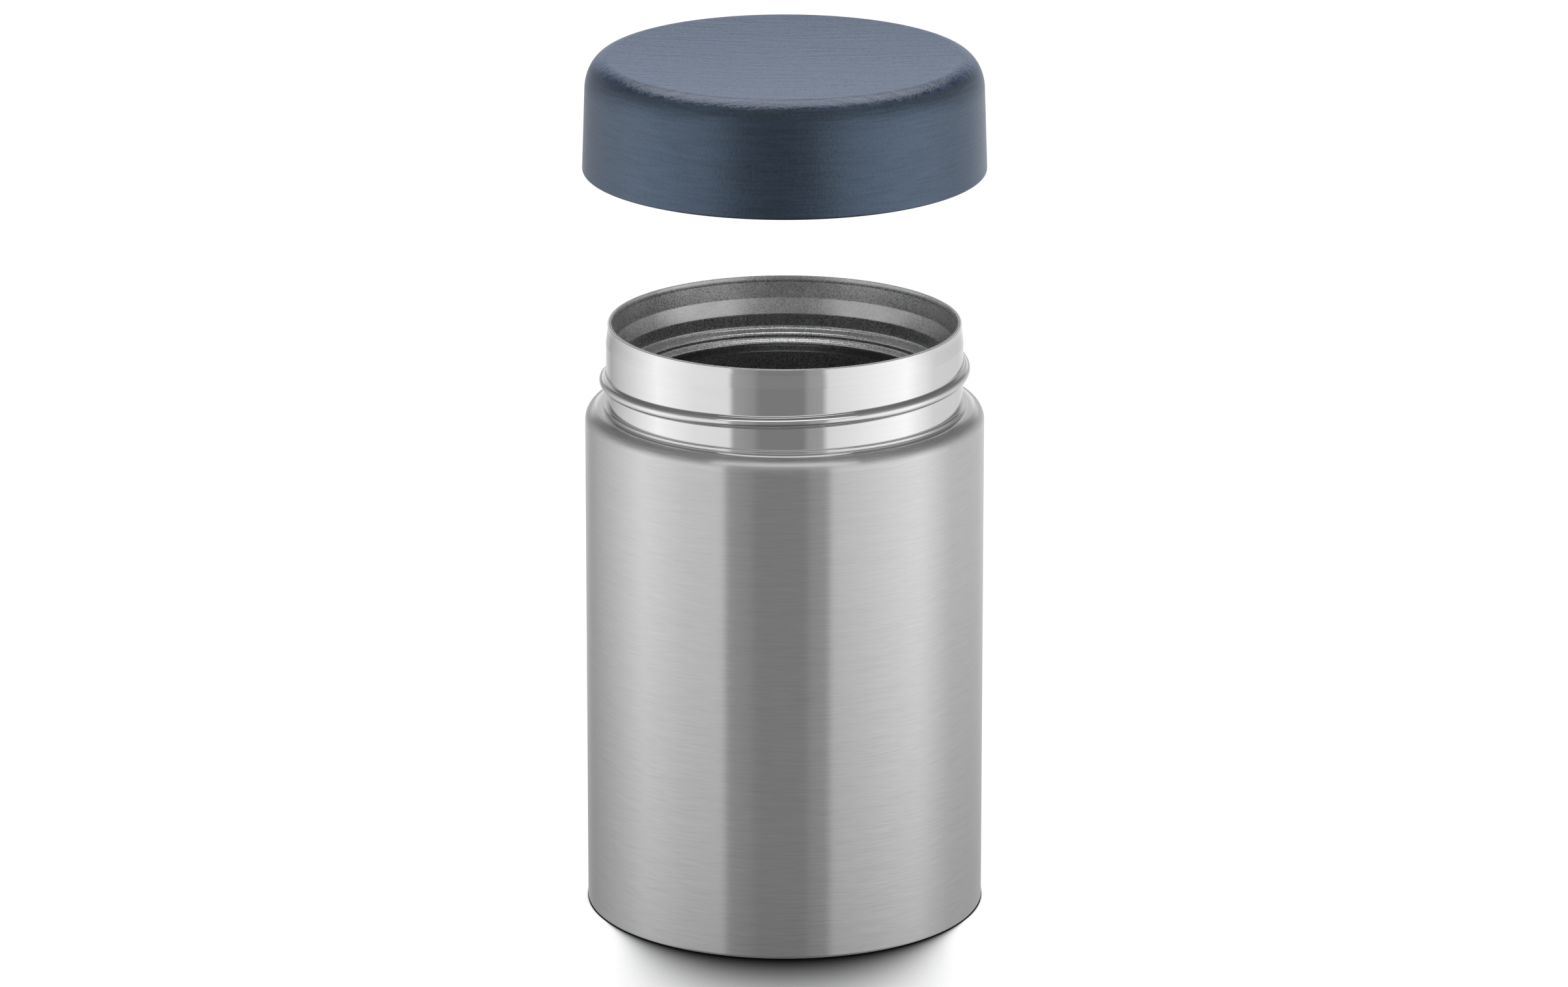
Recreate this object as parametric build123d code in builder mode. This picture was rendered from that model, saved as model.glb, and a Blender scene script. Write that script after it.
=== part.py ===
"""Double-walled steel food jar with a screw lid, its lid held clear above the mouth.

Millimetres. +Z runs up the jar's axis and the origin is the centre of the face it stands on.
Angles run anticlockwise from +X as seen from above.
"""

import math
import os

from build123d import *

os.makedirs("parts", exist_ok=True)

# ---------------------------------------------------------------- driving dimensions: steel body
body_diameter = 85.0
body_height = 110.5  # standing face to the top of the shoulder
shell_sheet = 0.4
shoulder_radius = 3.3
shoulder_width = 4.5  # from the body's wall in to the neck's wall
foot_radius = 0.6
foot_width = 3.3  # flat ring that the jar stands on

# ---------------------------------------------------------------- driving dimensions: neck
neck_height = 17.9  # top of the shoulder to the rim
lip_inset = 0.4  # the neck draws in this much towards its lip
lip_height = 1.2  # straight lip where the two walls are welded
lip_taper_height = 2.9
collar_proud = 0.8  # small stop ring at the foot of the neck
collar_height = 0.6
collar_round = 0.15
neck_rounding = 1.2  # soft bends of the neck's walls

# ---------------------------------------------------------------- driving dimensions: rolled thread
thread_lead = 5.1
thread_proud = 1.45
thread_half_height = 1.55
thread_crest_share = 0.75  # of the two radii that make the bead, the rest is its root's
thread_start = 150.0
thread_turn = 360.0
thread_run_out = 26.0  # angle over which each end fades into the neck
thread_middle_height = 7.55  # middle of the thread's run above the shoulder
stations_per_turn = 24
overlap = 0.05  # a swelling starts this far inside the wall that it grows from

# ---------------------------------------------------------------- driving dimensions: inner vessel
vessel_sheet = 0.4
vacuum_gap = 7.1  # between the two walls, beside the food
neck_gap = 0.85  # between the two walls, in the neck
floor_gap = 5.3  # between the outer base and the inner base
step_depth = 4.7  # top of the sloping step, below the rim
step_height = 3.3
step_width = 0.95
seat_depth = 11.2  # outer edge of the seal's seat, below the rim
seat_fall = 0.5  # the seat slopes down this much
seat_width = 2.4
seat_drop = 1.2  # height of the wall below the seat
lip_ring_width = 1.1  # second, lower ring inside the mouth
lip_ring_fall = 0.5
lip_ring_height = 0.7
lip_ring_flare = 2.1  # height over which the wall opens out to the vessel
seat_round = 0.8
bend_round = 0.6
vessel_corner = 8.0
vessel_weld_height = 1.5  # straight skirt of the inner base, up to its weld
foil_thickness = 0.1
foil_end_gap = 2.0

# ---------------------------------------------------------------- driving dimensions: outer base
base_sheet = 0.5
base_skirt = 6.0
base_corner = 1.0
recess_step = 2.8  # the middle of the base stands this much higher than its edge
recess_inset = 1.6  # from the standing ring in to the recess
recess_slope = 0.8
cap_sheet = 0.4
cap_clearance = 0.1  # inside the recess's bend
cap_height = 2.0
port_radius = 1.2
port_glass_radius = 2.4
port_glass_height = 0.9
getter_offset = 14.0
getter_radius = 4.0
getter_height = 2.2
clip_strip = 0.3
clip_width = 3.0
clip_foot = 3.5
clip_clearance = 0.3

# ---------------------------------------------------------------- driving dimensions: lid
lid_gap = 0.5  # closed lid's edge above the shoulder
lid_draft = 0.6  # the cover's side narrows this much towards its top
lid_crown_rise = 7.0
lid_crown_inset = 4.9
lid_edge_round = 0.5
lid_dish = 0.8  # the top is hollowed this much
cover_wall = 1.4
cover_top = 1.5
cover_liner_gap = 0.1
liner_wall = 0.95
liner_roof = 1.3
liner_recess = 0.6  # liner's edge above the cover's edge
snap_height = 1.2
snap_rise = 3.0  # snap bead above the cover's edge
snap_proud = 0.25
rim_clearance = 0.8  # liner's roof above the rim, closed
foam_height = 2.2  # foam above the liner's roof
foam_clearance = 0.2
plug_wall = 1.3
plug_clearance = 0.6
nose_clearance = 0.5
nose_depth = 2.6
seal_height = 3.0
seal_width = 4.5
seal_round = 0.9
groove_round = 0.4
seal_clearance = 0.1
seal_wall_clearance = 0.25
thread_clearance = 0.3  # liner's wall outside the thread's crest
ridge_clearance = 0.6  # ridge's crest outside the neck
ridge_crest_half = 0.45
ridge_root_half = 1.35
ridge_start = 185.0
ridge_turn = 300.0
ridge_run_out = 14.0
thread_play = 0.15  # along the axis, between the ridge and the thread
lift_turns = 10.0  # turns from closed to where the lid is held

# ---------------------------------------------------------------- places that follow from them
body_radius = body_diameter / 2
neck_radius = body_radius - shoulder_width
lip_radius = neck_radius - lip_inset
collar_radius = neck_radius + collar_proud
rim_z = body_height + neck_height
lip_z = rim_z - lip_height
taper_z = lip_z - lip_taper_height
collar_z = body_height + collar_height
shoulder_rounding = min(shoulder_radius, body_radius - collar_radius - collar_round - overlap)
foot_inner_radius = body_radius - foot_radius - foot_width

vessel_radius = body_radius - shell_sheet - vacuum_gap - vessel_sheet
throat_radius = neck_radius - shell_sheet - neck_gap - vessel_sheet
step_radius = throat_radius - step_width
seat_inner_radius = step_radius - seat_width
lip_ring_radius = seat_inner_radius - lip_ring_width
step_top_z = rim_z - step_depth
step_bottom_z = step_top_z - step_height
seat_z = rim_z - seat_depth
seat_inner_z = seat_z - seat_fall
seat_drop_z = seat_inner_z - seat_drop
lip_ring_z = seat_drop_z - lip_ring_fall
lip_ring_bottom_z = lip_ring_z - lip_ring_height
vessel_top_z = lip_ring_bottom_z - lip_ring_flare

recess_radius = foot_inner_radius - recess_inset
recess_top_radius = recess_radius - recess_slope
recess_z = shell_sheet + recess_step
base_floor_z = recess_z + base_sheet
vessel_bottom_z = base_floor_z + floor_gap
vessel_floor_z = vessel_bottom_z + vessel_sheet
vessel_weld_z = vessel_floor_z + vessel_corner + vessel_weld_height
base_skirt_z = shell_sheet + base_skirt
cap_radius = recess_top_radius - bend_round - cap_clearance
cap_z = recess_z - cap_height
glass_z = recess_z - port_glass_height
clip_leg = getter_radius + clip_clearance

lid_lift = lift_turns * thread_lead
lid_edge_z = body_height + lid_gap
liner_bore = neck_radius + thread_proud + thread_clearance
liner_top_radius = liner_bore + liner_wall
liner_edge_z = lid_edge_z + liner_recess
roof_z = rim_z + rim_clearance
roof_top_z = roof_z + liner_roof
cover_inner_top_z = roof_top_z + foam_height + 2 * foam_clearance
cover_dish_z = cover_inner_top_z + cover_top
crest_z = cover_dish_z + lid_dish
crown_z = crest_z - lid_crown_rise
cover_top_radius = liner_top_radius + cover_liner_gap + cover_wall
cover_edge_radius = cover_top_radius + lid_draft
crest_radius = cover_top_radius - lid_crown_inset
inner_crest_radius = crest_radius - cover_wall / 2
snap_z = lid_edge_z + snap_rise

plug_radius = step_radius - plug_clearance
nose_radius = lip_ring_radius - nose_clearance
seal_outer_radius = step_radius - seal_wall_clearance
seal_inner_radius = seal_outer_radius - seal_width
groove_radius = seal_inner_radius - seal_clearance
seal_bottom_z = seat_z + seal_clearance
seal_top_z = seal_bottom_z + seal_height
groove_bottom_z = seal_bottom_z - seal_clearance
groove_top_z = seal_top_z + seal_clearance
nose_z = groove_bottom_z - nose_depth
plug_floor_z = nose_z + plug_wall
plug_step_z = groove_top_z + plug_wall
ridge_crest_radius = neck_radius + ridge_clearance

held_open = Plane(origin=(0, 0, lid_lift), x_dir=(1, 0, 0), z_dir=(0, -1, 0))


def section(corners, plane=Plane.XZ):
    """The face inside the closed outline through corners, each a (radius, height, rounding)."""
    with BuildSketch(plane) as face:
        with BuildLine():
            FilletPolyline(
                [(radius, height) for radius, height, _ in corners],
                radius=[rounding for *_, rounding in corners],
                close=True,
            )
        make_face()
    return face.sketch


def pressed(corners, sheet):
    """Corners of a pressed sheet: one face runs through corners, the other lies to their left."""
    points = [Vector(radius, height) for radius, height, _ in corners]
    lefts = [(end - start).normalized().rotate(Axis.Z, 90) for start, end in zip(points, points[1:])]
    other_face = []
    for point, before, after, (*_, rounding) in zip(points, lefts[:1] + lefts, lefts + lefts[-1:], corners):
        moved = point + (before + after) * (sheet / (1 + before.dot(after)))
        turn = before.cross(after).Z
        other_rounding = rounding - math.copysign(1, turn) * sheet if rounding else 0
        other_face.append((moved.X, moved.Y, max(other_rounding, 0)))
    return corners + other_face[::-1]


def axial_plane(angle, height):
    """The plane through the jar's axis at an angle: its x points outwards and its y points up."""
    outwards = Vector(1, 0, 0).rotate(Axis.Z, angle)
    return Plane(origin=(0, 0, height), x_dir=outwards, z_dir=outwards.rotate(Axis.Z, -90))


def thread_z(angle):
    """Height of the thread's centre line, which climbs anticlockwise."""
    middle = thread_start + thread_turn / 2
    return body_height + thread_middle_height + thread_lead * (angle - middle) / 360


def faded(angle, start, turn, run_out):
    """1 along a thread, easing to 0 over run_out at both ends."""
    inside = min(angle - start, start + turn - angle, run_out) / run_out
    return math.sin(math.pi / 2 * max(inside, 0)) ** 2


def stations(start, turn):
    """Evenly spaced angles along a thread."""
    count = round(stations_per_turn * turn / 360)
    return [start + turn * i / count for i in range(count + 1)]


def bead_arcs(proud, crest_share):
    """Radius of a bead's crest, radius of its root, and how far both bend away from the wall."""
    both = (thread_half_height**2 + proud**2) / (2 * proud)
    return both * crest_share, both * (1 - crest_share), math.acos(1 - proud / both)


def rolled_bead(wall_radius, root_radius, crest_share):
    """The thread as a bead on a wall: round crested, and easing into the wall all round."""
    base, half = wall_radius - overlap, thread_half_height
    with BuildPart() as bead:
        for angle in stations(thread_start, thread_turn):
            proud = overlap + thread_proud * faded(angle, thread_start, thread_turn, thread_run_out)
            crest_arc, root_arc, bend = bead_arcs(proud, crest_share)
            easing_r = base + root_arc * (1 - math.cos(bend / 2))
            easing_z = half - root_arc * math.sin(bend / 2)
            meeting_r = base + root_arc * (1 - math.cos(bend))
            meeting_z = crest_arc * math.sin(bend)
            with BuildSketch(axial_plane(angle, thread_z(angle))):
                with BuildLine():
                    Polyline((base, half), (root_radius, half), (root_radius, -half), (base, -half))
                    ThreePointArc((base, -half), (easing_r, -easing_z), (meeting_r, -meeting_z))
                    ThreePointArc(
                        (meeting_r, -meeting_z), (base + proud, 0), (meeting_r, meeting_z)
                    )
                    ThreePointArc((meeting_r, meeting_z), (easing_r, easing_z), (base, half))
                make_face()
        loft()
    return bead.part


def rolled_ridge():
    """The liner's thread ridge, which lies just under the neck's thread when the lid is shut."""
    wall_radius = liner_bore + overlap
    crest_arc, _, _ = bead_arcs(thread_proud, thread_crest_share)
    bead_half = math.sqrt(crest_arc**2 - (crest_arc - thread_proud + ridge_clearance) ** 2)
    drop = bead_half + ridge_crest_half + thread_play
    with BuildPart() as ridge:
        for angle in stations(ridge_start, ridge_turn):
            fade = faded(angle, ridge_start, ridge_turn, ridge_run_out)
            crest = wall_radius - (wall_radius - ridge_crest_radius) * fade
            held_angle = angle + 360 * lift_turns
            with BuildSketch(axial_plane(held_angle, thread_z(held_angle) - drop)):
                with BuildLine():
                    Polyline(
                        (wall_radius, ridge_root_half),
                        (wall_radius + liner_wall / 2, ridge_root_half),
                        (wall_radius + liner_wall / 2, -ridge_root_half),
                        (wall_radius, -ridge_root_half),
                        (crest, -ridge_crest_half),
                        (crest, ridge_crest_half),
                        close=True,
                    )
                make_face()
        loft()
    return ridge.part


def side_wall(low_z, high_z, inset):
    """Points up the face where cover and liner meet, snap bead included, moved inwards by inset."""
    heights = [
        (low_z, 0),
        (snap_z - snap_height / 2, 0),
        (snap_z - snap_height / 4, snap_proud),
        (snap_z + snap_height / 4, snap_proud),
        (snap_z + snap_height / 2, 0),
        (high_z, 0),
    ]
    slope = lid_draft / (crown_z - lid_edge_z)
    foot = cover_edge_radius - cover_wall - inset
    return [(foot - slope * (z - lid_edge_z) + proud, z) for z, proud in heights]


# ================================================================ steel body
outer_crest, outer_root, _ = bead_arcs(thread_proud, thread_crest_share)
hollow_crest_share = (outer_crest - shell_sheet) / (outer_crest + outer_root)
thread_bead = rolled_bead(neck_radius, neck_radius - shell_sheet / 2, thread_crest_share)
thread_hollow = rolled_bead(
    neck_radius - shell_sheet, neck_radius - shell_sheet - neck_gap / 2, hollow_crest_share
)

with BuildPart() as outer_shell:
    tube = pressed(
        [
            (foot_inner_radius, 0, 0),
            (body_radius, 0, foot_radius),
            (body_radius, body_height, shoulder_rounding),
            (collar_radius, body_height, collar_round),
            (collar_radius, collar_z, collar_round),
            (neck_radius, collar_z, collar_round),
            (neck_radius, taper_z, neck_rounding),
            (lip_radius, lip_z, neck_rounding),
            (lip_radius, rim_z, 0),
        ],
        shell_sheet,
    )
    revolve(section(tube), axis=Axis.Z)
    add(thread_bead)
    add(thread_hollow, mode=Mode.SUBTRACT)

with BuildPart() as inner_vessel:
    tube = pressed(
        [
            (lip_radius - shell_sheet - vessel_sheet, rim_z, 0),
            (lip_radius - shell_sheet - vessel_sheet, lip_z, neck_rounding),
            (throat_radius, step_top_z, neck_rounding),
            (step_radius, step_bottom_z, neck_rounding),
            (step_radius, seat_z, seat_round),
            (seat_inner_radius, seat_inner_z, bend_round),
            (seat_inner_radius, seat_drop_z, bend_round),
            (lip_ring_radius, lip_ring_z, bend_round),
            (lip_ring_radius, lip_ring_bottom_z, bend_round),
            (vessel_radius, vessel_top_z, seat_round),
            (vessel_radius, vessel_weld_z, 0),
        ],
        vessel_sheet,
    )
    revolve(section(tube), axis=Axis.Z)

with BuildPart() as inner_base:
    dish = pressed(
        [
            (vessel_radius, vessel_weld_z, 0),
            (vessel_radius, vessel_floor_z, vessel_corner),
            (0, vessel_floor_z, 0),
        ],
        vessel_sheet,
    )
    revolve(section(dish), axis=Axis.Z)

with BuildPart() as outer_base:
    cup = pressed(
        [
            (body_radius - shell_sheet, base_skirt_z, 0),
            (body_radius - shell_sheet, shell_sheet, base_corner),
            (recess_radius, shell_sheet, bend_round),
            (recess_top_radius, recess_z, bend_round),
            (port_radius, recess_z, 0),
        ],
        -base_sheet,
    )
    revolve(section(cup), axis=Axis.Z)

with BuildPart() as base_cap:
    disc = pressed(
        [
            (0, cap_z, 0),
            (cap_radius, cap_z, bend_round + cap_sheet),
            (cap_radius, recess_z, 0),
        ],
        cap_sheet,
    )
    revolve(section(disc), axis=Axis.Z)

with BuildPart() as vacuum_seal:
    bead = [
        (0, glass_z, 0),
        (port_glass_radius, glass_z, bend_round),
        (port_glass_radius, recess_z, 0),
        (port_radius, recess_z, 0),
        (port_radius, base_floor_z, 0),
        (0, base_floor_z, 0),
    ]
    revolve(section(bead), axis=Axis.Z)

with BuildPart(Plane((getter_offset, 0, base_floor_z))) as getter:
    Cylinder(getter_radius, getter_height, align=(Align.CENTER, Align.CENTER, Align.MIN))

with BuildPart() as getter_clip:
    with BuildSketch(Plane((getter_offset, 0, base_floor_z), x_dir=(1, 0, 0), z_dir=(0, -1, 0))):
        with BuildLine():
            Polyline(
                (0, getter_height),
                (clip_leg, getter_height),
                (clip_leg, 0),
                (clip_leg + clip_foot, 0),
                (clip_leg + clip_foot, clip_strip),
                (clip_leg + clip_strip, clip_strip),
                (clip_leg + clip_strip, getter_height + clip_strip),
                (0, getter_height + clip_strip),
                close=True,
            )
        make_face()
        mirror(about=Plane.YZ)
    extrude(amount=clip_width / 2, both=True)

with BuildPart() as radiation_foil:
    foil_radius = vessel_radius + vessel_sheet
    sleeve = [
        (foil_radius, vessel_weld_z + foil_end_gap, 0),
        (foil_radius + foil_thickness, vessel_weld_z + foil_end_gap, 0),
        (foil_radius + foil_thickness, vessel_top_z - foil_end_gap, 0),
        (foil_radius, vessel_top_z - foil_end_gap, 0),
    ]
    revolve(section(sleeve), axis=Axis.Z)

# ================================================================ lid, held above the mouth
with BuildPart() as lid_cover:
    with BuildSketch(held_open):
        with BuildLine():
            inside = side_wall(lid_edge_z, crown_z, 0)
            FilletPolyline(
                inside[0],
                (cover_edge_radius, lid_edge_z),
                (cover_top_radius, crown_z),
                radius=lid_edge_round,
            )
            EllipticalCenterArc(
                (crest_radius, crown_z), lid_crown_inset, lid_crown_rise, arc_size=90
            )
            TangentArc((0, cover_dish_z), (crest_radius, crest_z), tangent=(1, 0))
            Polyline(
                (0, cover_dish_z), (0, cover_inner_top_z), (inner_crest_radius, cover_inner_top_z)
            )
            EllipticalCenterArc(
                (inner_crest_radius, crown_z),
                inside[-1][0] - inner_crest_radius,
                cover_inner_top_z - crown_z,
                arc_size=90,
            )
            Polyline(inside)
        make_face()
    revolve(axis=Axis.Z)

liner_ridge = rolled_ridge()

with BuildPart() as lid_liner:
    outside = [(radius, z, 0) for radius, z in side_wall(liner_edge_z, roof_top_z, cover_liner_gap)]
    cup = [
        *outside[:-1],
        (*outside[-1][:2], liner_roof),
        (plug_radius - plug_wall, roof_top_z, 0),
        (plug_radius - plug_wall, plug_step_z, 0),
        (groove_radius - plug_wall, plug_step_z, 0),
        (groove_radius - plug_wall, plug_floor_z, bend_round),
        (0, plug_floor_z, 0),
        (0, nose_z, 0),
        (nose_radius, nose_z, seal_round),
        (nose_radius, groove_bottom_z, groove_round),
        (groove_radius, groove_bottom_z, 0),
        (groove_radius, groove_top_z, 0),
        (plug_radius, groove_top_z, groove_round),
        (plug_radius, roof_z, bend_round),
        (liner_bore, roof_z, bend_round),
        (liner_bore, liner_edge_z, 0),
    ]
    revolve(section(cup, held_open), axis=Axis.Z)
    add(liner_ridge)

with BuildPart() as lid_insulation:
    stem_radius = groove_radius - plug_wall - foam_clearance
    core_radius = plug_radius - plug_wall - foam_clearance
    brim_radius = inner_crest_radius - foam_clearance
    foam = [
        (0, plug_floor_z + foam_clearance, 0),
        (stem_radius, plug_floor_z + foam_clearance, bend_round),
        (stem_radius, plug_step_z + foam_clearance, 0),
        (core_radius, plug_step_z + foam_clearance, 0),
        (core_radius, roof_top_z + foam_clearance, 0),
        (brim_radius, roof_top_z + foam_clearance, 0),
        (brim_radius, cover_inner_top_z - foam_clearance, bend_round),
        (0, cover_inner_top_z - foam_clearance, 0),
    ]
    revolve(section(foam, held_open), axis=Axis.Z)

with BuildPart() as seal_ring:
    ring = [
        (seal_inner_radius, seal_bottom_z, groove_round),
        (seal_outer_radius, seal_bottom_z, seal_round),
        (seal_outer_radius, seal_top_z, seal_round),
        (seal_inner_radius, seal_top_z, groove_round),
    ]
    revolve(section(ring, held_open), axis=Axis.Z)

# ================================================================ one file for each piece
pieces = {
    "outer_shell": outer_shell,
    "inner_vessel": inner_vessel,
    "inner_base": inner_base,
    "outer_base": outer_base,
    "base_cap": base_cap,
    "vacuum_seal": vacuum_seal,
    "getter": getter,
    "getter_clip": getter_clip,
    "radiation_foil": radiation_foil,
    "lid_cover": lid_cover,
    "lid_liner": lid_liner,
    "lid_insulation": lid_insulation,
    "seal_ring": seal_ring,
}
for name, piece in pieces.items():
    piece.part.label = name
    export_step(piece.part, f"parts/{name}.step")
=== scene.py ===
"""Insulated food jar with a screw lid: the finish of every surface, the studio and the camera.

The jar stands on the floor at the origin, +Z up its axis, front towards -Y. Sizes in the classes
are millimetres; meshes are made in metres, in the same frame as the CAD bodies they ride on.
"""

import logging
import math
from dataclasses import dataclass, field
from enum import Enum
from typing import Any, Sequence

import bpy
import numpy as np
from bpy.types import Material, Node, NodeSocket, NodeTree, Object
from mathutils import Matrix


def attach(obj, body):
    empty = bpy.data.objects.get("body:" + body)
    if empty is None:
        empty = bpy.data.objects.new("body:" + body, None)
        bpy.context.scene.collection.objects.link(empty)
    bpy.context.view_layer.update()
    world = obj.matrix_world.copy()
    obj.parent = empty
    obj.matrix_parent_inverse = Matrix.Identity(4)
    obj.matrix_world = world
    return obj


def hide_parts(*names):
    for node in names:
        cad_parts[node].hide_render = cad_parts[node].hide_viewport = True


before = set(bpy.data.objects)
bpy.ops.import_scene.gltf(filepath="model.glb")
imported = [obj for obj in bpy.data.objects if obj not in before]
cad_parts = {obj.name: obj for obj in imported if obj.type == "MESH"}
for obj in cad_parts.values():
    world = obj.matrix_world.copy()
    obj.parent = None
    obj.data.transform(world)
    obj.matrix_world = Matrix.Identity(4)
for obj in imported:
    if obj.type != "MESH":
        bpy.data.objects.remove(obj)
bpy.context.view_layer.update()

LOG = logging.getLogger("food_jar")
MM = 0.001
COLUMNS = 360  # vertices round each turned piece
ARC_STEP = 7.5  # degrees of bend between two rows
BEAD_ROWS = 12  # along each of a bead's four arcs
RIDGE_ROWS = 25  # across the whole of a ridge
EDGE_BREAK = 0.05  # rounding of an edge that is otherwise sharp
FADED = 1e-3  # what a faded bead still stands proud, so that its arcs have a radius
TINY = 1e-6  # what counts as no length and no angle
FINE_DETAIL = 3.0  # octaves of finer noise in a brushed or rolled surface
QUARTER_TURN = 0.25  # in turns
FLOAT_A, FLOAT_B = 2, 3  # a Mix node's inputs for values
COLOUR_A, COLOUR_B, COLOUR_OUT = 6, 7, 2  # its inputs and output for colours

Settings = dict[str | int, Any]
Source = Node | NodeSocket
Links = dict[str | int, Source]
Stops = tuple[tuple[float, float], ...]  # places in rising order, each with a level


class Body(Enum):
    """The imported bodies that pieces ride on."""

    JAR = "jar"
    LID_CORE = "lid_core"
    LID = "lid"


class Brush(Enum):
    """How a surface was brushed, with the axis that its smear of reflections goes round."""

    ROUND = "Z"
    STRAIGHT = "X"


class Tone(Enum):
    """Colours, as sRGB hex values."""

    STEEL = "#CCCCCD"
    STEEL_BRUSHED = "#C5C5C6"
    STEEL_BUFFED = "#CFCFD0"
    STEEL_SHADE = "#B6B6B7"
    STEEL_INSIDE = "#C4C4C5"
    STEEL_DULL = "#9A9A9B"
    LACQUER = "#44566B"
    LACQUER_SHADE = "#364556"
    LACQUER_EDGE = "#D2DDEE"
    # the lid top's lacquer tones: one paint, painted lighter and bluer than the side's to stand for
    # the light that falls on the top
    LACQUER_TOP_PAINTED_LIGHTER = "#576C8C"
    LACQUER_TOP_PAINTED_LIGHTER_SHADE = "#415370"
    MOULDING = "#3E4C5C"
    MOULDING_SHADE = "#394655"
    SILICONE = "#E4E6E5"
    SILICONE_SHADE = "#DADDDC"
    FOAM = "#F3F2EC"
    FOAM_SHADE = "#E9E8E0"
    FOIL = "#E6E7EA"
    FOIL_SHADE = "#DDDEE2"
    GETTER = "#5A5B5E"
    GETTER_SHADE = "#4D4E51"
    SOLDER_GLASS = "#4B443C"
    SOLDER_SHADE = "#3F3831"
    FLOOR = "#F7F8FA"
    SHADOW = "#14161B"
    WHITE = "#FFFFFF"
    LAMP_WARM = "#FFE0C0"


# ---------------------------------------------------------------- profiles and turned surfaces
@dataclass(frozen=True)
class Corner:
    """One corner of a turned piece's section.

    radius and height place it, in millimetres, and rounding is the radius of its bend.
    """

    radius: float
    height: float
    rounding: float = EDGE_BREAK


def rounded(corners: Sequence[Corner], closed: bool = True) -> np.ndarray:
    """Section through corners with every bend drawn as an arc.

    A bend of radius q between unit directions a and b starts q tan(turn / 2) before its corner,
    and its centre lies q from both straight runs. Its points turn evenly about that centre.

    Args:
        corners: The section's corners in order.
        closed: Whether the last corner runs back to the first.

    Returns:
        Points as rows of (radius, height), in millimetres.
    """
    places = np.array([(c.radius, c.height) for c in corners])
    runs = []
    for i, corner in enumerate(corners):
        if not closed and i in (0, len(corners) - 1):
            runs.append(places[i : i + 1])
            continue
        before = places[i] - places[i - 1]
        after = places[(i + 1) % len(corners)] - places[i]
        a, b = before / np.linalg.norm(before), after / np.linalg.norm(after)
        turn = math.atan2(a[0] * b[1] - a[1] * b[0], float(a @ b))
        if abs(turn) < TINY or corner.rounding <= 0:
            runs.append(places[i : i + 1])
            continue
        side = math.copysign(1.0, turn)
        start = places[i] - a * corner.rounding * math.tan(abs(turn) / 2)
        inwards = side * np.array([-a[1], a[0]])
        centre = start + inwards * corner.rounding
        steps = max(2, math.ceil(math.degrees(abs(turn)) / ARC_STEP))
        angles = np.linspace(0, turn, steps + 1)[:, None]
        spoke = start - centre
        across = np.array([-spoke[1], spoke[0]])
        runs.append(centre + spoke * np.cos(angles) + across * np.sin(angles))
    return np.concatenate(runs)


def elliptic(centre: tuple[float, float], half_axes: tuple[float, float], rows: int) -> np.ndarray:
    """Quarter of an ellipse from its widest point up to its top.

    Args:
        centre: (radius, height) of the ellipse's centre.
        half_axes: Its half width and half height.
        rows: Number of points.

    Returns:
        Points centre + (width cos t, height sin t), for t from 0 to a right angle.
    """
    t = np.linspace(0, math.pi / 2, rows)
    return np.stack([centre[0] + half_axes[0] * np.cos(t), centre[1] + half_axes[1] * np.sin(t)], 1)


def dished(edge: tuple[float, float], middle_height: float, rows: int) -> np.ndarray:
    """Shallow dish from its edge to the axis, level at the axis.

    Args:
        edge: (radius, height) of the dish's edge.
        middle_height: Height at the axis.
        rows: Number of points.

    Returns:
        Points whose height rises with the square of the distance from the axis.
    """
    share = np.linspace(1, 0, rows)
    return np.stack([edge[0] * share, middle_height + (edge[1] - middle_height) * share**2], 1)


def section_area(section: np.ndarray) -> float:
    """Signed area inside a section; positive if it runs anticlockwise."""
    r, z = section.T
    return float(np.sum(r * np.roll(z, -1) - np.roll(r, -1) * z) / 2)


def longest_run(section: np.ndarray, radius: float) -> int:
    """Number of the point that starts a section's longest straight run at a radius."""
    on_wall = np.abs(section[:, 0] - radius) < TINY
    return int(np.argmax(np.abs(np.diff(section[:, 1])) * (on_wall[:-1] & on_wall[1:])))


def pressed(face: Sequence[Corner], sheet: float, side: int = 1) -> np.ndarray:
    """Section of a pressed sheet, from the corners of one face.

    The other face is moved square to the first by the thickness: each point goes along the sum
    of the unit normals of the runs that meet there, over 1 + their dot product. A point on the
    axis stays on it.

    Args:
        face: The face's corners in order.
        sheet: Thickness of the sheet.
        side: 1 puts the other face to the left of the first one's direction, -1 to the right.

    Returns:
        Points of the first face, then of the other one backwards.
    """
    line = rounded(face, closed=False)
    steps = np.diff(line, axis=0)
    steps /= np.linalg.norm(steps, axis=1, keepdims=True)
    lefts = np.stack([-steps[:, 1], steps[:, 0]], 1) * side
    before, after = np.vstack([lefts[:1], lefts]), np.vstack([lefts, lefts[-1:]])
    both = before + after
    back = line + both * (sheet / (1 + np.sum(before * after, axis=1, keepdims=True)))
    back[line[:, 0] == 0, 0] = 0
    return np.concatenate([line, back[::-1]])


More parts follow.
